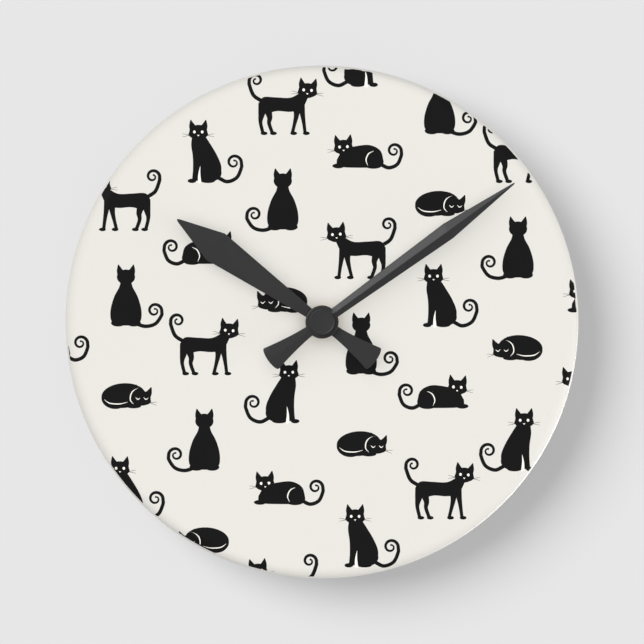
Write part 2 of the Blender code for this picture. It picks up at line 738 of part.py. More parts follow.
def coil():
    """Square core between the stator's feet, and the round winding on it."""
    box(
        "coil_core", (CORE_X[0], COIL_Y - CORE_HALF, CORE_Z - CORE_HALF),
        (CORE_X[1], COIL_Y + CORE_HALF, CORE_Z + CORE_HALF), STEEL,
    )
    half = (CORE_X[1] - CORE_X[0]) / 2 - 0.5 * MM
    section = ring_profile(CORE_HALF * math.sqrt(2) + GAP, COIL_RADIUS, -half, half)
    winding = lengthwise(
        turned("coil_winding", section, COPPER, steps=20, closed=True), COIL_Y, CORE_Z
    )
    winding.location.x = sum(CORE_X) / 2
    return winding


BOARD = ((-INNER + 0.8 * MM, 5.0 * MM), (-11.0 * MM, INNER - 0.8 * MM))
BOARD_Z = (7.6 * MM, 8.6 * MM)
CHIP = (-18.5 * MM, 20.5 * MM)
CHIP_RADIUS = 2.6 * MM
CHIP_RISE = 1.15 * MM
CAN = (-18.5 * MM, 13.5 * MM)
CAN_RADIUS = 1.5 * MM
CAN_HALF = 3.6 * MM
CAN_EDGE = 0.3 * MM


def circuit():
    """Board, the resin drop over its chip, and the crystal's round can."""
    plate("circuit_board", rounded_rectangle(*BOARD, 0.8 * MM, 2), *BOARD_Z, BOARD_GREEN)
    base = BOARD_Z[0] - GAP
    drop = [
        (CHIP_RADIUS * math.cos(turn), base - CHIP_RISE * math.sin(turn))
        for turn in (0, math.radians(30), math.radians(60))
    ]
    turned(
        "clock_chip", [(0, base), *drop, (0, base - CHIP_RISE)], CHIP_BLACK,
        steps=16, place=(*CHIP, 0),
    )
    section = [
        (0, CAN_HALF), (CAN_RADIUS - CAN_EDGE, CAN_HALF), (CAN_RADIUS, CAN_HALF - CAN_EDGE),
        (CAN_RADIUS, CAN_EDGE - CAN_HALF), (CAN_RADIUS - CAN_EDGE, -CAN_HALF), (0, -CAN_HALF),
    ]
    can = lengthwise(
        turned("quartz_can", section, STEEL, steps=16), CAN[1], base - CAN_RADIUS
    )
    can.location.x = CAN[0]


stator()
coil()
circuit()


# ---------------------------------------------------------------- hands
TIP_HALF = 0.12 * MM
TAIL_CURVE = 1.45            # power of the flare: 1 would be straight
TAIL_BOW = 1.4 * MM          # how far the tail's end bows out


def tail_edge(start, reach, start_half, end_half):
    """Right edge of a tail: a smooth flare from the hub, then half of the bowed end."""
    points = []
    for i in range(1, 6):
        share = i / 5
        half = start_half + (end_half - start_half) * share ** TAIL_CURVE
        points.append((half, -(start + (reach - start) * share)))
    for share in (2 / 3, 1 / 3):
        points.append((end_half * share, -(reach + TAIL_BOW * (1 - share**2))))
    return points


def hand_outline(length, widest, hub, neck, tail, tail_halves):
    """Lance of straight tapers, a round hub and a flared tail with a bowed end.

    Drawn pointing up: (x across, y along). widest is the greatest half width and
    where it lies. Built as the right half, from the tip down, then mirrored.
    """
    start = math.degrees(math.asin(neck / hub))
    end = math.degrees(math.asin(tail_halves[0] / hub))
    half = [(TIP_HALF, length), widest]
    half += arc((0, 0), hub, 90 - start, end - 90, 10)
    half += tail_edge(hub * math.cos(math.radians(end)), tail, *tail_halves)
    mirrored = [(-x, y) for x, y in reversed(half)]
    return [*half, (0.0, -tail - TAIL_BOW), *mirrored]


def hand(name, outline, angle, low, bore):
    """Flat hand with a round hole, turned clockwise from twelve."""
    made = plate(name, outline, low, low + HAND_THICK, HAND_BLACK)
    hole = cylinder(f"{name}_bore", bore, low - MM, low + 2 * MM)
    combine(made, "DIFFERENCE", [hole])
    made.rotation_euler = (0, 0, -angle)
    return made


def hand_cap():
    """Press-on cap with a blind bore over the end of the minute arbor."""
    top, bore, floor = CAP_Z + CAP_THICK, ARBOR_RADIUS + 0.2 * MM, ARBOR_TOP + GAP
    profile = [
        (0, top), (CAP_RADIUS - 0.9 * MM, top), (CAP_RADIUS - 0.25 * MM, top - 0.3 * MM),
        (CAP_RADIUS, top - 0.9 * MM), (CAP_RADIUS, CAP_Z), (bore, CAP_Z), (bore, floor), (0, floor),
    ]
    return turned("hand_cap", profile, HAND_BLACK, steps=32)


hand(
    "minute_hand",
    hand_outline(
        MINUTE_LENGTH, (3.44 * MM, 61.2 * MM), HUB_RADIUS, 2.0 * MM,
        24.6 * MM, (2.15 * MM, 5.0 * MM),
    ),
    MINUTE_ANGLE, MINUTE_HAND_Z, ARBOR_RADIUS + 0.2 * MM,
)
hand(
    "hour_hand",
    hand_outline(
        HOUR_LENGTH, (6.44 * MM, 51.4 * MM), HOUR_HUB_RADIUS, 2.05 * MM,
        24.7 * MM, (2.2 * MM, 5.0 * MM),
    ),
    HOUR_ANGLE, HOUR_HAND_Z, PIPE_RADIUS + 0.2 * MM,
)
hand_cap()
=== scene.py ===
"""The wall clock's looks: printed face, folded hands, moulded movement, wall and light.

Lengths in the drawing of the print are millimetres on the face, x to the right and
y up from the middle. Everything else is metres in the model's own frame: the face
looks along -Y and the wall is the plane Y = 0.
"""
import math

import bmesh
import bpy
import numpy as np
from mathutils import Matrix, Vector


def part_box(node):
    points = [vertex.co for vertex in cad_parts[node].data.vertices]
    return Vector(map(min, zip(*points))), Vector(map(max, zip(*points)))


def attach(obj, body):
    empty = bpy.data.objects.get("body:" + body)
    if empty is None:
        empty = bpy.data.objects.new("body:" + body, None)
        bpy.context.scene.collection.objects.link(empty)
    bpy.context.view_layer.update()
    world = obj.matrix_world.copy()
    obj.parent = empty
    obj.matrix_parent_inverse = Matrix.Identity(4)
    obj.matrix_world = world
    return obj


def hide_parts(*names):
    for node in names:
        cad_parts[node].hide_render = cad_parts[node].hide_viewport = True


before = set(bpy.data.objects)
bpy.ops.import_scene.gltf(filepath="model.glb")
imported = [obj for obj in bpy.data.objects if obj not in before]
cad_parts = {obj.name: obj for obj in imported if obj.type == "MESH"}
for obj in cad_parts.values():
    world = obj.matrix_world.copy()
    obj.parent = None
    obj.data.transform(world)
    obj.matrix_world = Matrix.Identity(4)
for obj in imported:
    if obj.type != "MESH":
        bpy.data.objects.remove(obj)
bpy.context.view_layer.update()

MM = 0.001


# ---------------------------------------------------------------- meshes from arrays
def put_mesh(name, verts, quads, finish, body, slot, smooth=40.0, stands_for=()):
    """New piece from a vertex array and a quad array, riding on a body."""
    mesh = bpy.data.meshes.new(name)
    mesh.vertices.add(len(verts))
    mesh.vertices.foreach_set("co", np.asarray(verts, dtype=np.float32).ravel())
    mesh.loops.add(quads.size)
    mesh.loops.foreach_set("vertex_index", quads.astype(np.int32).ravel())
    mesh.polygons.add(len(quads))
    mesh.polygons.foreach_set("loop_start", np.arange(0, quads.size, 4, dtype=np.int32))
    mesh.update(calc_edges=True)
    mesh.validate()
    clean = bmesh.new()
    clean.from_mesh(mesh)
    bmesh.ops.remove_doubles(clean, verts=clean.verts, dist=2e-6)
    bmesh.ops.recalc_face_normals(clean, faces=clean.faces)
    clean.to_mesh(mesh)
    clean.free()
    mesh.materials.append(finish)
    mesh.shade_smooth()
    mesh.set_sharp_from_angle(angle=math.radians(smooth))
    piece = bpy.data.objects.new(name, mesh)
    bpy.context.scene.collection.objects.link(piece)
    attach(piece, body)
    if stands_for:
        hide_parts(*stands_for)
    return piece


def grid_quads(rows, columns, wrap_rows=False, wrap_columns=False, first=0):
    """Quads over a rows by columns grid of points, numbered row by row."""
    row_count = rows if wrap_rows else rows - 1
    column_count = columns if wrap_columns else columns - 1
    i, j = np.meshgrid(np.arange(row_count), np.arange(column_count), indexing="ij")
    i, j = i.ravel(), j.ravel()
    k, l = (i + 1) % rows, (j + 1) % columns
    corners = [i * columns + j, i * columns + l, k * columns + l, k * columns + j]
    return first + np.stack(corners, axis=1)


def spun(name, profile, finish, body, slot, steps=128, centre=(0, 0), axis=1, smooth=40.0,
         stands_for=(), closed=False):
    """Turned piece: each profile point (radius, along) is carried round an axis.

    axis 1 is the line along Y through centre = (x, z), axis 0 the line along X
    through centre = (y, z).
    """
    profile = np.asarray(profile)
    turn = np.linspace(0, 2 * np.pi, steps, endpoint=False)[:, None]
    across = centre[0] + np.cos(turn) * profile[:, 0]
    z = centre[1] + np.sin(turn) * profile[:, 0]
    along = np.broadcast_to(profile[:, 1], z.shape)
    order = [across, along, z] if axis == 1 else [along, across, z]
    verts = np.stack(order, axis=2).reshape(-1, 3)
    quads = grid_quads(steps, len(profile), wrap_rows=True, wrap_columns=closed)
    return put_mesh(name, verts, quads, finish, body, slot, smooth, stands_for)


def arc_points(centre, radii, start, end, count):
    """Points of an elliptic arc from start to end, in degrees: centre + radii * (cos, sin)."""
    turn = np.radians(np.linspace(start, end, count))
    return np.stack(
        [centre[0] + radii[0] * np.cos(turn), centre[1] + radii[1] * np.sin(turn)], axis=1
    )


# ---------------------------------------------------------------- materials
def new_material(name, colour, roughness, metallic=0.0):
    """Principled material; returns it with its node tree and shader."""
    made = bpy.data.materials.new(name)
    made.use_nodes = True
    shader = made.node_tree.nodes["Principled BSDF"]
    shader.inputs["Base Color"].default_value = (*colour, 1.0)
    shader.inputs["Roughness"].default_value = roughness
    shader.inputs["Metallic"].default_value = metallic
    return made, made.node_tree, shader


def speckle_group():
    """Shared mottling: two sizes of noise, out as a colour factor and as a height."""
    group = bpy.data.node_groups.new("fine_mottle", "ShaderNodeTree")
    face = group.interface
    face.new_socket("Coarse Scale", in_out="INPUT", socket_type="NodeSocketFloat")
    face.new_socket("Fine Scale", in_out="INPUT", socket_type="NodeSocketFloat")
    face.new_socket("Stretch", in_out="INPUT", socket_type="NodeSocketVector")
    face.new_socket("Coarse", in_out="OUTPUT", socket_type="NodeSocketFloat")
    face.new_socket("Fine", in_out="OUTPUT", socket_type="NodeSocketFloat")
    nodes, links = group.nodes, group.links
    entry = nodes.new("NodeGroupInput")
    leave = nodes.new("NodeGroupOutput")
    place = nodes.new("ShaderNodeTexCoord")
    stretch = nodes.new("ShaderNodeVectorMath")
    stretch.operation = "MULTIPLY"
    links.new(place.outputs["Object"], stretch.inputs[0])
    links.new(entry.outputs["Stretch"], stretch.inputs[1])
    for label in ("Coarse", "Fine"):
        noise = nodes.new("ShaderNodeTexNoise")
        noise.inputs["Detail"].default_value = 3.0
        links.new(stretch.outputs[0], noise.inputs["Vector"])
        links.new(entry.outputs[f"{label} Scale"], noise.inputs["Scale"])
        links.new(noise.outputs["Fac"], leave.inputs[label])
    return group


MOTTLE = speckle_group()


def mottled(name, colour, other, roughness, rough_swing, metallic=0.0, coarse=40.0, fine=1500.0,
            stretch=(1.0, 1.0, 1.0), bump=0.02, bump_depth=0.00002, coat=0.0, coat_rough=0.1,
            specular=0.5):
    """Material whose colour wanders between two near tones, with fine tooth in its surface."""
    made, tree, shader = new_material(name, colour, roughness, metallic)
    nodes, links = tree.nodes, tree.links
    mottle = nodes.new("ShaderNodeGroup")
    mottle.node_tree = MOTTLE
    mottle.inputs["Coarse Scale"].default_value = coarse
    mottle.inputs["Fine Scale"].default_value = fine
    mottle.inputs["Stretch"].default_value = stretch
    tint = nodes.new("ShaderNodeMix")
    tint.data_type = "RGBA"
    tint.inputs["A"].default_value = (*colour, 1.0)
    tint.inputs["B"].default_value = (*other, 1.0)
    links.new(mottle.outputs["Coarse"], tint.inputs["Factor"])
    links.new(tint.outputs["Result"], shader.inputs["Base Color"])
    spread = nodes.new("ShaderNodeMapRange")
    spread.inputs["To Min"].default_value = max(roughness - rough_swing, 0.02)
    spread.inputs["To Max"].default_value = min(roughness + rough_swing, 1.0)
    links.new(mottle.outputs["Fine"], spread.inputs["Value"])
    links.new(spread.outputs["Result"], shader.inputs["Roughness"])
    tooth = nodes.new("ShaderNodeBump")
    tooth.inputs["Strength"].default_value = bump
    tooth.inputs["Distance"].default_value = bump_depth
    links.new(mottle.outputs["Fine"], tooth.inputs["Height"])
    links.new(tooth.outputs["Normal"], shader.inputs["Normal"])
    shader.inputs["Specular IOR Level"].default_value = specular
    shader.inputs["Coat Weight"].default_value = coat
    shader.inputs["Coat Roughness"].default_value = coat_rough
    return made


IVORY = mottled("ivory_print_sheet", (0.840, 0.815, 0.760), (0.860, 0.838, 0.790), 0.5, 0.05,
                coarse=9.0, fine=900.0, bump=0.04, coat=0.12, coat_rough=0.25)
EYE_IVORY = mottled("bare_ivory", (0.83, 0.80, 0.74), (0.87, 0.84, 0.78), 0.5, 0.05, coarse=300.0)
INK = mottled("black_ink", (0.0055, 0.0056, 0.0058), (0.0075, 0.0074, 0.0074), 0.6, 0.06,
              coarse=120.0, fine=2500.0, bump=0.05, specular=0.08)
WHISKER_INK = mottled("thin_ink", (0.05, 0.048, 0.045), (0.09, 0.086, 0.08), 0.6, 0.05, coarse=900.0)
HAND_PAINT = mottled("hand_paint", (0.0185, 0.0185, 0.0195), (0.022, 0.022, 0.023), 0.41, 0.05,
                     coarse=60.0, fine=5200.0, bump=0.1, bump_depth=0.00001, specular=0.43)

# ---------------------------------------------------------------- the face disc
disc_low, disc_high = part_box("face_disc")
RADIUS = disc_high.x
FRONT, BACK = disc_low.y, disc_high.y
ROUND_WIDE = 5.0 * MM
ROUND_DEEP = 4.2 * MM
BORE = 4.4 * MM
FLAT = RADIUS - ROUND_WIDE


def front_of(radius):
    """Depth of the front surface: level to FLAT, then a quarter ellipse down to the edge."""
    out = np.clip((radius - FLAT) / ROUND_WIDE, 0.0, 1.0)
    return FRONT + ROUND_DEEP * (1.0 - np.sqrt(np.clip(1.0 - out * out, 0.0, 1.0)))


def make_face():
    """Disc: bore, level front, quarter-ellipse edge, wall, small back chamfer, back."""
    edge = arc_points((FLAT, FRONT + ROUND_DEEP), (ROUND_WIDE, -ROUND_DEEP), 90, 0, 28)
    chamfer = 0.6 * MM
    profile = np.concatenate([
        [[BORE, FRONT + 0.2 * MM], [BORE + 0.2 * MM, FRONT], [FLAT * 0.5, FRONT]],
        edge,
        [[RADIUS, BACK - chamfer], [RADIUS - chamfer, BACK], [BORE, BACK]],
    ])
    return spun("face", profile, IVORY, "movement", "face_ivory", steps=512, smooth=30.0,
                stands_for=("face_disc",), closed=True)


face = make_face()
face.visible_diffuse = False      # the wall gets the lamps' light alone, with no glow off the rim

# ---------------------------------------------------------------- drawing in ink
PRINT_RADIUS = RADIUS / MM - 0.75     # the print stops short of the very edge
COLUMN, ROW = 31.0, 38.0              # the drawings stand this far apart
INK_LIFT = 0.030                      # how proud the ink stands, and how much each
INK_STEP = 0.0012                     # later shape stands over the one before
HAIR_LIFT, BARE_LIFT = 0.018, 0.072   # whiskers lie under the ink, bare marks over it
INK_SINK = 0.030                      # how far its underside lies below the face
BENT_STEP = 0.4                       # spacing of points where a shape runs over the edge


def smooth_path(points, count):
    """Points evenly spread along a Catmull-Rom curve through the given ones."""
    knots = np.asarray(points, dtype=float)
    knots = np.concatenate([[2 * knots[0] - knots[1]], knots, [2 * knots[-1] - knots[-2]]])
    spans = len(knots) - 3
    t = np.linspace(0, spans, spans * 24 + 1)
    k = np.clip(t.astype(int), 0, spans - 1)
    f = (t - k)[:, None]
    a, b, c, d = knots[k], knots[k + 1], knots[k + 2], knots[k + 3]
    line = 0.5 * (2 * b + (c - a) * f + (2 * a - 5 * b + 4 * c - d) * f**2
                  + (3 * b - a - 3 * c + d) * f**3)
    walked = np.concatenate([[0], np.cumsum(np.linalg.norm(np.diff(line[:, :2], axis=0), axis=1))])
    even = np.linspace(0, walked[-1], count)
    return np.stack([np.interp(even, walked, line[:, i]) for i in range(line.shape[1])], axis=1)


def stroke(points, count=24):
    """Line drawn through (x, y, width) points: two edges, half a width to each side."""
    path = smooth_path(points, count)
    along = np.gradient(path[:, :2], axis=0)
    along /= np.linalg.norm(along, axis=1)[:, None]
    side = np.stack([-along[:, 1], along[:, 0]], axis=1) * path[:, 2:3] / 2
    return path[:, :2] + side, path[:, :2] - side


def patch(left, right, count=48):
    """Filled shape between two smooth edges that are drawn the same way."""
    return smooth_path(left, count), smooth_path(right, count)


def turned_about(points, x, y, tilt):
    """Points turned anticlockwise by tilt degrees and moved to x, y."""
    c, s = math.cos(math.radians(tilt)), math.sin(math.radians(tilt))
    points = np.asarray(points, dtype=float)
    return np.stack([
        x + points[:, 0] * c - points[:, 1] * s, y + points[:, 0] * s + points[:, 1] * c
    ], axis=1)


def placed(shapes, x, y, tilt):
    """Every shape's two edges turned by tilt degrees and moved to x, y."""
    return [tuple(turned_about(edge, x, y, tilt) for edge in shape) for shape in shapes]


def oval(x, y, wide, high, tilt=0.0, count=28):
    """Ellipse as chords: half a turn down each side."""
    turn = np.linspace(0, np.pi, count)
    left = np.stack([-np.sin(turn) * wide / 2, np.cos(turn) * high / 2], axis=1)
    return turned_about(left, x, y, tilt), turned_about(left * [-1, 1], x, y, tilt)


def curled_tail(points, centre, radius, start, turns, widths=(1.5, 0.55)):
    """Tail through points that runs on into a closing curl and ends in a round tip.

    The curl starts at angle start (degrees) and draws in evenly to a quarter of
    its radius; a positive number of turns winds anticlockwise.
    """
    count = int(abs(turns) * 16)
    turn = np.radians(start) + np.linspace(0, turns * 2 * np.pi, count)
    draw_in = radius * (1 - 0.75 * np.linspace(0, 1, count))
    curl = np.stack([
        centre[0] + draw_in * np.cos(turn), centre[1] + draw_in * np.sin(turn)
    ], axis=1)
    joined = np.concatenate([np.asarray(points, dtype=float), curl])
    taper = np.linspace(widths[0], widths[1], len(joined))
    tip = oval(*joined[-1], widths[1] * 1.5, widths[1] * 1.5, count=12)
    return [stroke(np.column_stack([joined, taper]), 110), tip]


def head(x, y, tilt=0.0, cheeks=True):
    """Round head with two upright ears."""
    shapes = [oval(0, 0, 7.2, 5.9), oval(0, -0.7, 7.7, 4.0) if cheeks else oval(0, -0.5, 6.6, 4.6)]
    for side in (-1, 1):
        outer = [(side * 3.35, 0.6), (side * 3.6, 2.6), (side * 3.15, 4.9)]
        inner = [(side * 0.7, 2.2), (side * 1.75, 3.4), (side * 2.85, 4.9)]
        shapes.append(patch(outer, inner, 12))
    return placed(shapes, x, y, tilt)


def face_marks(x, y, tilt=0.0):
    """Round eyes and a small nose, bare of ink."""
    marks = [oval(side * 1.55, 0.15, 1.05, 1.15, count=10) for side in (-1, 1)]
    nose_left = [(-0.45, -1.05), (-0.25, -1.35), (0.0, -1.6)]
    nose_right = [(0.45, -1.05), (0.25, -1.35), (0.02, -1.6)]
    return placed([*marks, patch(nose_left, nose_right, 6)], x, y, tilt)


def whiskers(x, y, tilt=0.0):
    """Two straight hairs from each cheek."""
    hairs = []
    for side in (-1, 1):
        for rise in (0.7, -0.5):
            line = [(side * 3.4, -1.2), (side * 4.9, -1.2 + rise * 0.6), (side * 6.4, -1.3 + rise)]
            line = turned_about(line, x, y, tilt)
            hairs.append(stroke(np.column_stack([line, [0.2, 0.17, 0.1]]), 8))
    return hairs


def sitting_away():
    """Seen from behind: pear body, tail laid out to one side."""
    side = [(2.1, 6.6), (2.7, 4.2), (4.6, 0.6), (6.0, -4.2), (6.0, -8.4), (4.4, -10.9)]
    ink = head(0, 8.3, cheeks=False) + [
        patch([(-x, y) for x, y in side], side),
        oval(-3.1, -9.9, 5.6, 2.8), oval(3.1, -9.9, 5.6, 2.8),
        *curled_tail([(3.4, -9.9), (7.6, -11.2), (11.6, -10.2), (14.0, -7.0)],
                     (11.3, -5.0), 2.9, -10, 1.25),
    ]
    return ink, [], []


def sitting_side():
    """Sits in profile and looks out."""
    ink = head(-2.4, 8.5) + [
        patch([(-4.9, 6.8), (-5.2, 3.4), (-4.6, -1.0), (-4.5, -6.0), (-4.9, -10.8)],
              [(0.2, 7.2), (2.4, 3.8), (5.0, -0.6), (6.7, -5.2), (6.2, -10.0)]),
        oval(2.6, -7.5, 8.4, 6.9),
        oval(-4.9, -10.7, 3.4, 1.7), oval(1.4, -10.7, 5.6, 1.7),
        *curled_tail([(5.4, -9.4), (9.0, -11.0), (12.8, -9.4), (14.6, -5.6)],
                     (11.7, -3.4), 3.0, -10, 1.25),
    ]
    gap = patch([(-1.7, -5.0), (-2.4, -8.0), (-2.6, -11.6)],
                [(-1.6, -5.0), (-1.6, -8.0), (-1.2, -11.6)], 14)
    return ink, face_marks(-2.4, 8.5) + [gap], whiskers(-2.4, 8.5)


def strolling():
    """Walks in profile with its tail held up."""
    ink = head(9.8, 6.0, -4) + [
        patch([(-9.6, 1.0), (-7.6, 3.4), (-2.6, 3.3), (3.0, 3.2), (6.8, 5.2), (8.6, 7.0)],
              [(-9.2, -1.6), (-6.4, -2.9), (-2.0, -2.1), (3.0, -2.4), (7.4, -1.4), (10.2, 3.6)]),
        stroke([(-7.6, 0.6, 4.2), (-8.4, -3.4, 2.6), (-8.8, -6.6, 1.5), (-7.9, -10.6, 1.35)]),
        stroke([(-6.4, -0.2, 3.6), (-5.2, -4.4, 2.2), (-5.4, -7.0, 1.5), (-4.2, -10.6, 1.35)]),
        stroke([(5.6, 0.8, 3.6), (5.4, -3.6, 2.1), (4.6, -7.4, 1.4), (3.8, -10.6, 1.3)]),
        stroke([(7.0, 1.2, 3.4), (7.8, -3.4, 2.0), (8.4, -7.4, 1.4), (8.8, -10.6, 1.3)]),
        *[oval(x + 0.5, -10.9, 2.7, 1.4, count=12) for x in (-7.9, -4.2, 3.8, 8.8)],
        *curled_tail([(-8.6, 2.0), (-11.6, 4.2), (-13.2, 8.2)], (-10.6, 10.0), 2.8, 195, -1.2),
    ]
    return ink, face_marks(9.8, 6.0, -4), whiskers(9.8, 6.0, -4)


def resting():
    """Lies with its legs folded under."""
    ink = head(-7.0, 2.6, 3) + [
        patch([(-9.6, -2.2), (-7.0, 1.6), (-1.6, 3.1), (3.6, 3.4), (7.6, 1.2), (8.9, -3.0)],
              [(-9.8, -4.4), (-7.0, -5.3), (-2.0, -5.5), (3.0, -5.5), (6.6, -5.4), (8.7, -4.4)]),
        oval(-9.0, -4.8, 4.8, 1.9), oval(4.8, -4.6, 6.8, 2.6),
        *curled_tail([(7.4, -4.0), (10.8, -5.5), (14.2, -4.2), (15.8, -0.8)],
                     (13.0, 1.2), 2.9, -10, 1.25),
    ]
    haunch = stroke([(2.6, -4.6, 0.1), (1.9, -2.4, 0.42), (2.9, 0.0, 0.42), (4.9, 1.1, 0.1)], 18)
    return ink, face_marks(-7.0, 2.6, 3) + [haunch], whiskers(-7.0, 2.6, 3)


def asleep():
    """Curled up, head on its paws and tail brought round in front."""
    ink = [
        oval(1.0, -0.6, 17.4, 9.8, -4), oval(4.2, -1.6, 11.0, 8.6),
        *head(-6.2, -1.6, 10),
        oval(-3.0, -4.7, 6.0, 1.9),
    ]
    cheek = [(-8.8, 1.6, 0.1), (-5.2, 2.4, 0.0), (-2.4, 0.8, 0.4), (-1.7, -2.2, 0.4), (-3.0, -4.0, 0.1)]
    tail = [(8.6, -2.2, 0.1), (6.4, -3.6, 0.4), (2.6, -3.9, 0.4), (-0.6, -3.2, 0.1)]
    shut_eyes = [
        stroke([(x - 0.9, -1.5, 0.1), (x, -2.1, 0.36), (x + 0.9, -1.3, 0.1)], 10)
        for x in (-7.9, -4.7)
    ]
    return ink, [stroke(cheek, 20), stroke(tail, 20), *shut_eyes], whiskers(-6.2, -1.6, 10)


def cut_to_disc(left, right):
    """Each chord from left to right, cut where it leaves the printed disc.

    The chord is left + s (right - left); s solves |point| = PRINT_RADIUS.
    Returns runs of rows that still have some length.
    """
    run = right - left
    a = (run**2).sum(1) + 1e-12
    b = (left * run).sum(1)
    c = (left**2).sum(1) - PRINT_RADIUS**2
    root = np.sqrt(np.clip(b * b - a * c, 0, None))
    low = np.clip((-b - root) / a, 0, 1)
    high = np.clip((-b + root) / a, 0, 1)
    inside = (b * b - a * c > 0) & ((high - low > 1e-6) | (c < 0))
    start, end = left + low[:, None] * run, left + high[:, None] * run
    edges = np.flatnonzero(np.diff(np.concatenate([[0], inside, [0]])))
    return [(start[i:j], end[i:j]) for i, j in edges.reshape(-1, 2) if j - i > 1]


def slab(left, right, columns, level, over, under):
    """Closed slab with rows of points from left to right.

    level gives a surface's depth from the distance to the middle; the slab runs
    from over to under either side of it.
    """
    s = np.linspace(0, 1, columns)[None, :, None]
    flat = (left[:, None] * (1 - s) + right[:, None] * s) * MM
    depth = level(np.hypot(flat[..., 0], flat[..., 1]))
    layers = [np.stack([flat[..., 0], depth + shift * MM, flat[..., 1]], axis=2).reshape(-1, 3)
              for shift in (over, under)]
    rows = len(left)
    upper = grid_quads(rows, columns)
    lower = upper[:, ::-1] + rows * columns
    around = np.concatenate([
        np.arange(columns), np.arange(2, rows) * columns - 1,
        rows * columns - 1 - np.arange(columns), np.arange(rows - 2, 0, -1) * columns,
    ])
    after = np.roll(around, -1)
    skirt = np.stack([around, around + rows * columns, after + rows * columns, after], axis=1)
    return np.concatenate(layers), np.concatenate([upper, lower, skirt])


def merged(parts):
    """One vertex array and one quad array from several (vertices, quads) parts."""
    first = np.cumsum([0] + [len(verts) for verts, quads in parts])
    quads = [quads + start for (verts, quads), start in zip(parts, first)]
    return np.concatenate([verts for verts, quads in parts]), np.concatenate(quads)


def print_shapes(name, shapes, spots, finish, lift, slot):
    """The shapes at every spot that falls on the disc, as one piece.

    Where a shape reaches the rounded edge its slab gets a point every
    BENT_STEP, so that it follows the curve.
    """
    parts = []
    for x, y, facing in spots:
        for number, (left, right) in enumerate(shapes):
            edges = [edge * [facing, 1] + [x, y] for edge in (left, right)]
            for start, end in cut_to_disc(*edges):
                wide = np.linalg.norm(end - start, axis=1).max()
                bent = np.hypot(*np.concatenate([start, end]).T).max() * MM > FLAT
                columns = 2 + int(wide / BENT_STEP) if bent else 2
                over = -lift - number * INK_STEP
                parts.append(slab(start, end, columns, front_of, over, INK_SINK))
    return put_mesh(name, *merged(parts), finish, "movement", slot, 30.0)


def spots_of(number, kinds):
    """Places (x, y, facing) of one drawing: columns in step, every other one dropped half a row."""
    spots = []
    for column in range(-4, 5):
        for row in range(-3, 5):
            if (2 * column + row) % kinds == number:
                x, y = (column + 0.5) * COLUMN, (row - 0.25 - 0.5 * (column % 2)) * ROW
                spots.append((x, y, (-1) ** (column + row)))
    return spots


CATS = [sitting_away, strolling, resting, sitting_side, asleep]
for number, draw in enumerate(CATS):
    ink, bare, hairs = draw()
    spots = spots_of(number, len(CATS))
    name = f"print_{draw.__name__}"
    print_shapes(name, ink, spots, INK, INK_LIFT, "hand_black")
    if hairs:
        print_shapes(f"{name}_whiskers", hairs, spots, WHISKER_INK, HAIR_LIFT, "hand_black")
    if bare:
        print_shapes(f"{name}_bare", bare, spots, EYE_IVORY, BARE_LIFT, "face_ivory")

# ---------------------------------------------------------------- hands
MINUTE_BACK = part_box("minute_hand")[1].y
HOUR_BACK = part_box("hour_hand")[1].y
MINUTE_ANGLE, HOUR_ANGLE = math.radians(54.2), math.radians(305.3)    # clockwise from twelve
HAND_THICK = 0.42            # millimetres, as is
TAIL_START = 5.5             # the place where a tail leaves the hub
HUB_RADIUS, HOUR_HUB_RADIUS, CAP_RADIUS = 6.55 * MM, 5.75 * MM, 5.05 * MM
ARBOR_HOLE = 1.7 * MM


def hand_blade(name, half_widths, ridge, angle, back, thick, body, node):
    """Folded blade: cross-sections along the hand, each a shallow roof with softened edges.

    half_widths holds (place along the hand, half width, share of the ridge), in
    millimetres, joined by straight runs. The front rises from the edge to the
    middle by ridge times the share times the half width, and the fold itself is
    a little blunt. across goes from edge to edge; soft is how much of the
    thickness is missing there.
    """
    along, half, rise = (np.array(column) for column in zip(*half_widths))
    fine = np.unique(np.concatenate([along, np.linspace(along[0], along[-1], 150)]))
    half = np.interp(fine, along, half)
    rise = np.interp(fine, along, rise) * ridge
    across = np.array([-1.0, -0.985, -0.93, -0.5, -0.06, 0.0, 0.06, 0.5, 0.93, 0.985, 1.0])
    soft = np.array([0.55, 0.2, 0.0, 0.0, 0.0, 0.0, 0.0, 0.0, 0.0, 0.2, 0.55])
    x = half[:, None] * across
    blunt = 0.02
    roof = (1 - np.sqrt(across**2 + blunt**2)) * half[:, None] * rise[:, None]
    drop = soft * np.minimum(thick, half[:, None] * 0.6)
    front = -(thick - drop + roof)
    z = np.broadcast_to(fine[:, None], x.shape)
    top = np.stack([x, front, z], axis=2)
    under = np.stack([x, -0.9 * roof, z], axis=2)
    ring = np.concatenate([top, under[:, ::-1]], axis=1)
    rows, columns = ring.shape[:2]
    verts = ring.reshape(-1, 3) * MM
    sides = grid_quads(rows, columns, wrap_columns=True)
    half_count = columns // 2
    j = np.arange(half_count - 1)
    cap = np.stack([j, j + 1, columns - 2 - j, columns - 1 - j], axis=1)
    quads = np.concatenate([sides, cap, cap[:, ::-1] + (rows - 1) * columns])
    c, s = math.cos(angle), math.sin(angle)
    turned = np.stack([
        verts[:, 0] * c + verts[:, 2] * s, verts[:, 1] + back, verts[:, 2] * c - verts[:, 0] * s
    ], axis=1)
    return put_mesh(name, turned, quads, HAND_PAINT, body, "hand_black", 18.0, (node,))


def tail_run(reach, neck, end, bow, count=14):
    """Tail half widths out to a bowed end: a smooth flare, then a shallow arc."""
    flare = [(-(TAIL_START + (reach - TAIL_START) * t), neck + (end - neck) * t**1.45, 0.15)
             for t in np.linspace(0, 1, count)]
    bowed = [(-(reach + bow * math.sin(t)), end * math.cos(t) + 0.01, 0.1)
             for t in np.linspace(0.25, math.pi / 2, 8)]
    return (flare + bowed)[::-1]


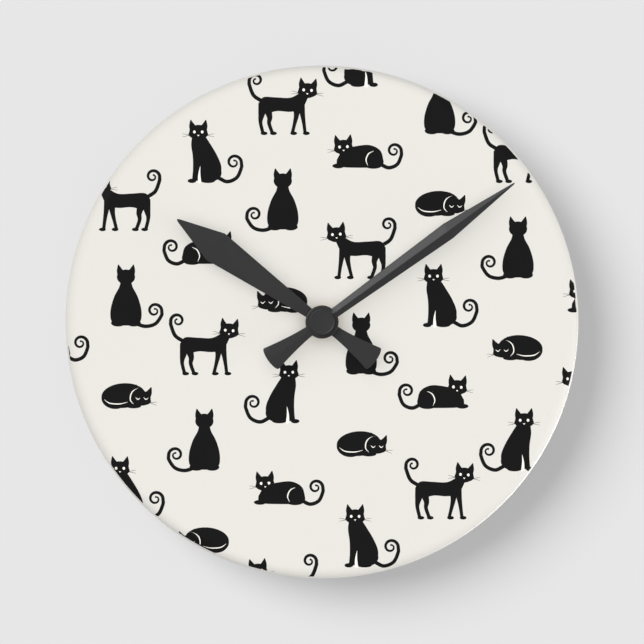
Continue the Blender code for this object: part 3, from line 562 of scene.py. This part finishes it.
minute_blade = hand_blade(
    "minute_blade",
    tail_run(24.6, 2.1, 5.0, 1.5) + [
        (6.0, 2.03, 0.6), (9.0, 2.11, 1.0), (61.2, 3.44, 1.0), (92.9, 0.36, 1.0), (93.6, 0.14, 1.0)],
    0.42, MINUTE_ANGLE, MINUTE_BACK, HAND_THICK, "minute", "minute_hand",
)
hour_blade = hand_blade(
    "hour_blade",
    tail_run(24.7, 2.1, 5.0, 1.5) + [
        (6.0, 2.0, 0.3), (12.0, 2.58, 0.5), (51.4, 6.36, 0.5), (69.2, 0.66, 0.5), (70.0, 0.2, 0.5)],
    0.10, HOUR_ANGLE, HOUR_BACK, HAND_THICK, "hour", "hour_hand",
)


def hub_plate(name, radius, back, body):
    """Round boss of a hand: flat, with a small rounded shoulder."""
    back -= 0.02 * MM
    front = back - 0.62 * MM
    wide, deep = 0.55 * MM, 0.3 * MM
    profile = np.concatenate([
        [[ARBOR_HOLE, back], [ARBOR_HOLE, front]],
        arc_points((radius - wide, front + deep), (wide, -deep), 90, 0, 8),
        [[radius, back]],
    ])
    return spun(name, profile, HAND_PAINT, body, "hand_black", steps=96, closed=True)


hub_plate("minute_hub", HUB_RADIUS, MINUTE_BACK, "minute")
hub_plate("hour_hub", HOUR_HUB_RADIUS, HOUR_BACK, "hour")


def make_cap():
    """Press-on cap: flat top inside a fine bead, rounded shoulder, straight wall, blind bore."""
    low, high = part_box("hand_cap")
    top, bottom = low.y, high.y
    floor = bottom - 1.2 * MM
    sunk = 0.12 * MM
    round_off = 0.3 * MM
    profile = np.concatenate([
        [[0.0, top + sunk], [CAP_RADIUS - 0.6 * MM, top + sunk],
         [CAP_RADIUS - 0.55 * MM, top + sunk * 0.95], [CAP_RADIUS - 0.42 * MM, top + 0.01 * MM]],
        arc_points((CAP_RADIUS - round_off, top + round_off), (round_off, -round_off), 88, 0, 8),
        [[CAP_RADIUS, bottom], [ARBOR_HOLE, bottom], [ARBOR_HOLE, floor], [0.0, floor]],
    ])
    return spun("cap", profile, HAND_PAINT, "minute", "hand_black", steps=96, stands_for=("hand_cap",))


make_cap()
for blade in (minute_blade, hour_blade):
    blade.visible_diffuse = False    # dark and close to the face, they would grey it too far out

# ---------------------------------------------------------------- finishes for the movement
BLACK_PLASTIC = mottled("moulded_black", (0.022, 0.022, 0.023), (0.032, 0.032, 0.034), 0.48, 0.1,
                        coarse=90.0, fine=3200.0, bump=0.35, bump_depth=0.00004)
NYLON = mottled("natural_nylon", (0.78, 0.76, 0.69), (0.84, 0.82, 0.76), 0.42, 0.06, coarse=200.0)
BRASS = mottled("turned_brass", (0.68, 0.48, 0.20), (0.80, 0.60, 0.30), 0.28, 0.08, metallic=1.0,
                coarse=150.0, fine=2600.0)
STEEL = mottled("stamped_steel", (0.55, 0.55, 0.56), (0.68, 0.68, 0.70), 0.30, 0.1, metallic=1.0,
                coarse=120.0, fine=2200.0, stretch=(1.0, 1.0, 7.0))
RUBBER = mottled("gasket_rubber", (0.016, 0.016, 0.016), (0.026, 0.026, 0.026), 0.8, 0.1)
FERRITE = mottled("magnet_dark", (0.10, 0.10, 0.105), (0.16, 0.16, 0.165), 0.45, 0.1, metallic=0.6)
COPPER = mottled("copper_winding", (0.60, 0.24, 0.10), (0.78, 0.38, 0.18), 0.3, 0.06, metallic=1.0,
                 fine=2600.0, stretch=(9.0, 1.0, 1.0), bump=0.6, bump_depth=0.00006)
BOARD = mottled("green_board", (0.016, 0.10, 0.045), (0.030, 0.15, 0.07), 0.35, 0.06, coarse=260.0)
RESIN = mottled("chip_resin", (0.012, 0.012, 0.013), (0.022, 0.022, 0.024), 0.35, 0.1)
JACKET = mottled("battery_film", (0.05, 0.14, 0.30), (0.06, 0.16, 0.34), 0.25, 0.03, metallic=0.2,
                 coarse=30.0, fine=400.0, bump=0.0, coat=0.4)
BAND = mottled("pale_film", (0.52, 0.53, 0.54), (0.57, 0.58, 0.59), 0.30, 0.03, metallic=0.3,
               coarse=30.0, fine=400.0, bump=0.0, coat=0.4)
TIN = mottled("plated_tin", (0.62, 0.62, 0.64), (0.68, 0.68, 0.70), 0.28, 0.03, metallic=1.0,
              coarse=60.0, fine=400.0, bump=0.0)

CAD_FINISHES = {
    "contact_positive": STEEL, "contact_negative": STEEL, "stator": STEEL, "coil_core": STEEL,
    "quartz_can": STEEL, "coil_winding": COPPER, "circuit_board": BOARD, "clock_chip": RESIN,
    "centre_wheel": NYLON, "motion_wheel": NYLON, "third_wheel": NYLON, "second_wheel": NYLON,
    "fifth_wheel": NYLON, "rotor": FERRITE, "hour_wheel": NYLON, "clutch_spring": BRASS,
    "minute_arbor": BRASS, "middle_plate": NYLON,
}
for node, finish in CAD_FINISHES.items():
    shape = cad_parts[node]
    shape.data.materials.clear()
    shape.data.materials.append(finish)

SHARP = math.radians(35)     # an edge bent by more than this counts as sharp


def softened(node, name, finish, body, width, segments=2, smooth=True):
    """The node's own shape, its points merged, with every sharp edge rounded over by width.

    smooth=False leaves every face flat, for a plate whose broad faces are cut up by holes.
    """
    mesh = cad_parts[node].data.copy()
    mesh.name = name
    clean = bmesh.new()
    clean.from_mesh(mesh)
    bmesh.ops.remove_doubles(clean, verts=clean.verts, dist=1e-6)
    bmesh.ops.dissolve_limit(
        clean, angle_limit=math.radians(0.5), verts=clean.verts, edges=clean.edges
    )
    clean.to_mesh(mesh)
    clean.free()
    mesh.materials.clear()
    mesh.materials.append(finish)
    if smooth:
        mesh.shade_smooth()
        mesh.set_sharp_from_angle(angle=SHARP)
    else:
        mesh.shade_flat()
    piece = bpy.data.objects.new(name, mesh)
    bpy.context.scene.collection.objects.link(piece)
    soften = piece.modifiers.new("rounded_edges", "BEVEL")
    soften.width = width
    soften.segments = segments
    soften.limit_method = "ANGLE"
    soften.angle_limit = SHARP
    soften.harden_normals = smooth
    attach(piece, body)
    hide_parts(node)
    return piece


softened("movement_case", "case", BLACK_PLASTIC, "movement", 0.35 * MM)
softened("back_cover", "cover", BLACK_PLASTIC, "movement", 0.1 * MM, smooth=False)
softened("hanger_loop", "hanger", BLACK_PLASTIC, "movement", 0.5 * MM, 3)
softened("rubber_gasket", "gasket", RUBBER, "movement", 0.2 * MM)
softened("face_washer", "washer", BRASS, "movement", 0.12 * MM)
softened("hex_nut", "nut", BRASS, "movement", 0.15 * MM)
softened("threaded_bush", "bush", BRASS, "movement", 0.1 * MM)
softened("setting_knob", "knob", BLACK_PLASTIC, "knob", 0.12 * MM)


def make_cell():
    """Dry cell along X: steel can with a stepped terminal, and a film sleeve in two tones."""
    low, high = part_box("battery")
    centre = ((low.y + high.y) / 2, (low.z + high.z) / 2)
    radius = (high.z - low.z) / 2
    can, film, edge = radius - 0.15 * MM, 0.13 * MM, 0.6 * MM
    shoulder = high.x - 1.2 * MM
    tip, tip_edge = 2.3 * MM, (0.4 * MM, 0.3 * MM)
    foot, sunk = can - 2.2 * MM, 0.25 * MM
    spun("cell", np.concatenate([
        [[0, high.x], [tip, high.x]],
        arc_points((tip, high.x - tip_edge[1]), tip_edge, 60, 0, 4),
        [[tip + tip_edge[0], shoulder], [can - edge, shoulder]],
        arc_points((can - edge, shoulder - edge), (edge, edge), 80, 0, 6),
        [[can, low.x + edge]],
        arc_points((can - edge, low.x + edge), (edge, -edge), 10, 90, 6),
        [[foot, low.x], [foot - 0.2 * MM, low.x + sunk], [0, low.x + sunk]],
    ]), TIN, "cell", "steel", steps=96, centre=centre, axis=0, stands_for=("battery",))
    seam, bare_end = high.x - 14.0 * MM, 0.5 * MM
    for name, start, end, finish in (
        ("cell_sleeve", low.x + bare_end, seam, JACKET),
        ("cell_band", seam, shoulder - bare_end, BAND),
    ):
        outer, inner = can + film, can - film
        spun(name, [[outer, end], [outer, start], [inner, start], [inner, end]], finish, "cell",
             "battery_jacket", steps=96, centre=centre, axis=0, closed=True)


def cover_marks():
    """Raised marks in the cover's sunk panel: two turning arrows round the knob, plus and minus."""
    low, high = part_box("setting_knob")
    knob = ((low.x + high.x) / 2 / MM, (low.z + high.z) / 2 / MM)
    radius, half_line, half_head, head_sweep = 8.2, 0.35, 1.3, 17

    def ring(reach, start, end, count):
        return arc_points(knob, (reach, reach), start, end, count)

    shapes = []
    for start in (20, 200):
        end = start + 100
        tip = ring(radius, end + head_sweep, end + head_sweep, 1)
        shapes.append(tuple(ring(radius + side * half_line, start, end, 24) for side in (1, -1)))
        shapes.append(tuple(
            np.concatenate([ring(radius + side * half_head, end, end, 1), tip]) for side in (1, -1)
        ))
    sign_x, long, short = 21.0, 3.6, 0.8
    sign_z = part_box("back_cover")[0].z / MM + 5.2
    for x, wide, tall in ((sign_x, long, short), (sign_x, short, long), (-sign_x, long, short)):
        edge = np.array([[x - wide / 2, sign_z + tall / 2], [x - wide / 2, sign_z - tall / 2]])
        shapes.append((edge, edge + [wide, 0]))
    top, under, step = -0.10, -0.36, 0.004
    parts = [slab(*shape, 2, np.zeros_like, top - step * number, under)
             for number, shape in enumerate(shapes)]
    return put_mesh("cover_marks", *merged(parts), BLACK_PLASTIC, "movement", "black_plastic", 30.0)


make_cell()
cover_marks()


# ---------------------------------------------------------------- wall, light and camera
def make_wall():
    """Plain pale wall a hair behind the clock; seen from its far side it is clear."""
    wide, depth = 1.6, 0.6 * MM
    corners = [(-wide, -wide), (wide, -wide), (wide, wide), (-wide, wide)]
    mesh = bpy.data.meshes.new("wall")
    mesh.from_pydata([(x, depth, z) for x, z in corners], [], [(0, 1, 2, 3)])
    made, tree, shader = new_material("wall_paint", (0.80, 0.80, 0.80), 0.95)
    shader.inputs["Specular IOR Level"].default_value = 0.0
    nodes, links = tree.nodes, tree.links
    clear = nodes.new("ShaderNodeBsdfTransparent")
    side = nodes.new("ShaderNodeNewGeometry")
    pick = nodes.new("ShaderNodeMixShader")
    links.new(side.outputs["Backfacing"], pick.inputs["Fac"])
    links.new(shader.outputs["BSDF"], pick.inputs[1])
    links.new(clear.outputs["BSDF"], pick.inputs[2])
    links.new(pick.outputs["Shader"], nodes["Material Output"].inputs["Surface"])
    mesh.materials.append(made)
    wall = bpy.data.objects.new("wall", mesh)
    bpy.context.scene.collection.objects.link(wall)
    wall.visible_shadow = False
    wall.visible_diffuse = False
    return wall


def make_sun(name, strength, spread, turn, tilt, behind=False):
    """Far soft light, in front or behind.

    spread, turn and tilt are in degrees: turn is clockwise from twelve as the
    face is read, tilt is from straight on.
    """
    lamp = bpy.data.lights.new(name, "SUN")
    lamp.energy = strength
    lamp.angle = math.radians(spread)
    sun = bpy.data.objects.new(name, lamp)
    bpy.context.scene.collection.objects.link(sun)
    t, a = math.radians(tilt), math.radians(turn)
    side = 1 if behind else -1
    toward = Vector((math.sin(t) * math.sin(a), side * math.cos(t), math.sin(t) * math.cos(a)))
    sun.rotation_mode = "QUATERNION"
    sun.rotation_quaternion = toward.to_track_quat("Z", "Y")
    return sun


def reserve(lamp, share, *pieces):
    """Light linking: the lamp reaches these pieces alone (INCLUDE) or all but them (EXCLUDE)."""
    reach = bpy.data.collections.new(f"{lamp.name}_reach")
    for piece in pieces:
        reach.objects.link(piece)
    for entry in reach.collection_objects:
        entry.light_linking.link_state = share
    lamp.light_linking.receiver_collection = reach


wall = make_wall()
reserve(make_sun("wall_key", 1.85, 40, 300, 43.5), "INCLUDE", wall)
reserve(make_sun("wall_fill", 1.02, 3, 300, 1), "INCLUDE", wall)
soft_front = make_sun("soft_front", 2.32, 110, 300, 20)
soft_front.visible_glossy = False
reserve(soft_front, "EXCLUDE", wall)
reserve(make_sun("hand_key", 1.40, 30, 310, 45), "EXCLUDE", wall, face)
reserve(make_sun("rim_light", 1.5, 50, 110, 84), "EXCLUDE", wall)
reserve(make_sun("back_key", 1.5, 25, 120, 38, behind=True), "EXCLUDE", wall)
reserve(make_sun("back_fill", 1.15, 90, 290, 22, behind=True), "EXCLUDE", wall)


def make_world():
    """Even dim light from all round, in front of a backdrop as pale as the wall."""
    world = bpy.data.worlds.new("studio")
    world.use_nodes = True
    nodes, links = world.node_tree.nodes, world.node_tree.links
    ambient = nodes["Background"]
    ambient.inputs["Color"].default_value = (1.0, 1.0, 1.0, 1.0)
    ambient.inputs["Strength"].default_value = 0.25
    backdrop = nodes.new("ShaderNodeBackground")
    backdrop.inputs["Color"].default_value = (0.80, 0.80, 0.80, 1.0)
    path = nodes.new("ShaderNodeLightPath")
    choose = nodes.new("ShaderNodeMixShader")
    links.new(path.outputs["Is Camera Ray"], choose.inputs["Fac"])
    links.new(ambient.outputs["Background"], choose.inputs[1])
    links.new(backdrop.outputs["Background"], choose.inputs[2])
    links.new(choose.outputs["Shader"], nodes["World Output"].inputs["Surface"])
    bpy.context.scene.world = world


def make_camera():
    """Long lens straight in front of the face; the frame is about one and a quarter discs wide."""
    camera = bpy.data.cameras.new("camera")
    camera.lens = 250
    camera.sensor_width = 36
    frame_width = 2.506 * RADIUS
    eye = bpy.data.objects.new("camera", camera)
    bpy.context.scene.collection.objects.link(eye)
    eye.location = (0, FRONT - frame_width * camera.lens / camera.sensor_width, 0)
    eye.rotation_euler = (math.radians(90), 0, 0)
    bpy.context.scene.camera = eye


make_world()
make_camera()
bpy.context.scene.view_settings.view_transform = "Standard"
